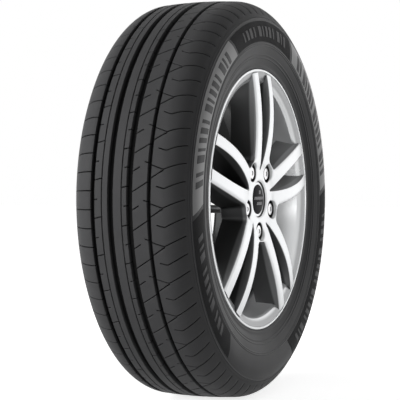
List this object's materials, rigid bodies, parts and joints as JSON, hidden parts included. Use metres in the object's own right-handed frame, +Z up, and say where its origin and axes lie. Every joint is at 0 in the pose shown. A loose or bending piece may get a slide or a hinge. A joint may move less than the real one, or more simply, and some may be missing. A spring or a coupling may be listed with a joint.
{
  "type": "car wheel with tyre",
  "caption": "Passenger car wheel: tubeless tyre with a grooved tread on a cast alloy wheel with paired spokes, wheel bolts, centre cap and snap-in valve.",
  "frame": {"origin": "the wheel's centre: on its axis, in the middle of the tyre's width", "axes": "+Y along the wheel's axis towards the car, so the outer face looks along -Y; +Z up, with one pair of spokes 1.5 degrees from upright, as in the picture"},
  "size_m": [0.673, 0.205, 0.673],
  "materials": {
    "tyre": "matte moulded rubber",
    "alloy": "silver lacquer on cast alloy, satin",
    "cap": "bright silver",
    "cap_disc": "dark, glossy",
    "wire": "bright",
    "bolt": "zinc plated, bright",
    "valve_rubber": "matte",
    "valve_brass": "turned",
    "valve_plastic": "matte",
    "seal": "matte"
  },
  "bodies": {
    "wheel": {"tyre": "tyre", "alloy_wheel": "alloy", "centre_cap": "cap", "centre_cap_disc": "cap_disc", "centre_cap_ring": "wire", "wheel_bolt_1": "bolt", "wheel_bolt_2": "bolt", "wheel_bolt_3": "bolt", "wheel_bolt_4": "bolt", "wheel_bolt_5": "bolt", "valve_body": "valve_rubber", "valve_tube": "valve_brass", "valve_core": "valve_brass"},
    "pin": {"valve_pin": "valve_brass"},
    "cap_seal": {"valve_cap_seal": "seal"},
    "cap": {"valve_cap": "valve_plastic"}
  },
  "joints": [
    {"name": "valve_pin_press", "type": "slide", "parent": "wheel", "child": "pin", "axis": [-0.8967, 0.3083, 0.3175], "range_m": [0, 0.0012], "stiffness_N_per_m": 1500, "springref_m": -0.0015},
    {"name": "valve_cap_lift", "type": "slide", "parent": "wheel", "child": "cap_seal", "axis": [0.8967, -0.3083, -0.3175], "range_m": [0, 0.009]},
    {"name": "valve_cap_turn", "type": "hinge", "parent": "cap_seal", "child": "cap", "pos_m": [-0.15184, -0.06079, 0.05377], "axis": [0.8967, -0.3083, -0.3175], "range_deg": [0, 4080]}
  ],
  "couplings": [
    {"joint": "valve_cap_turn", "follows": "valve_cap_lift", "rad_per_m": 7912}
  ]
}
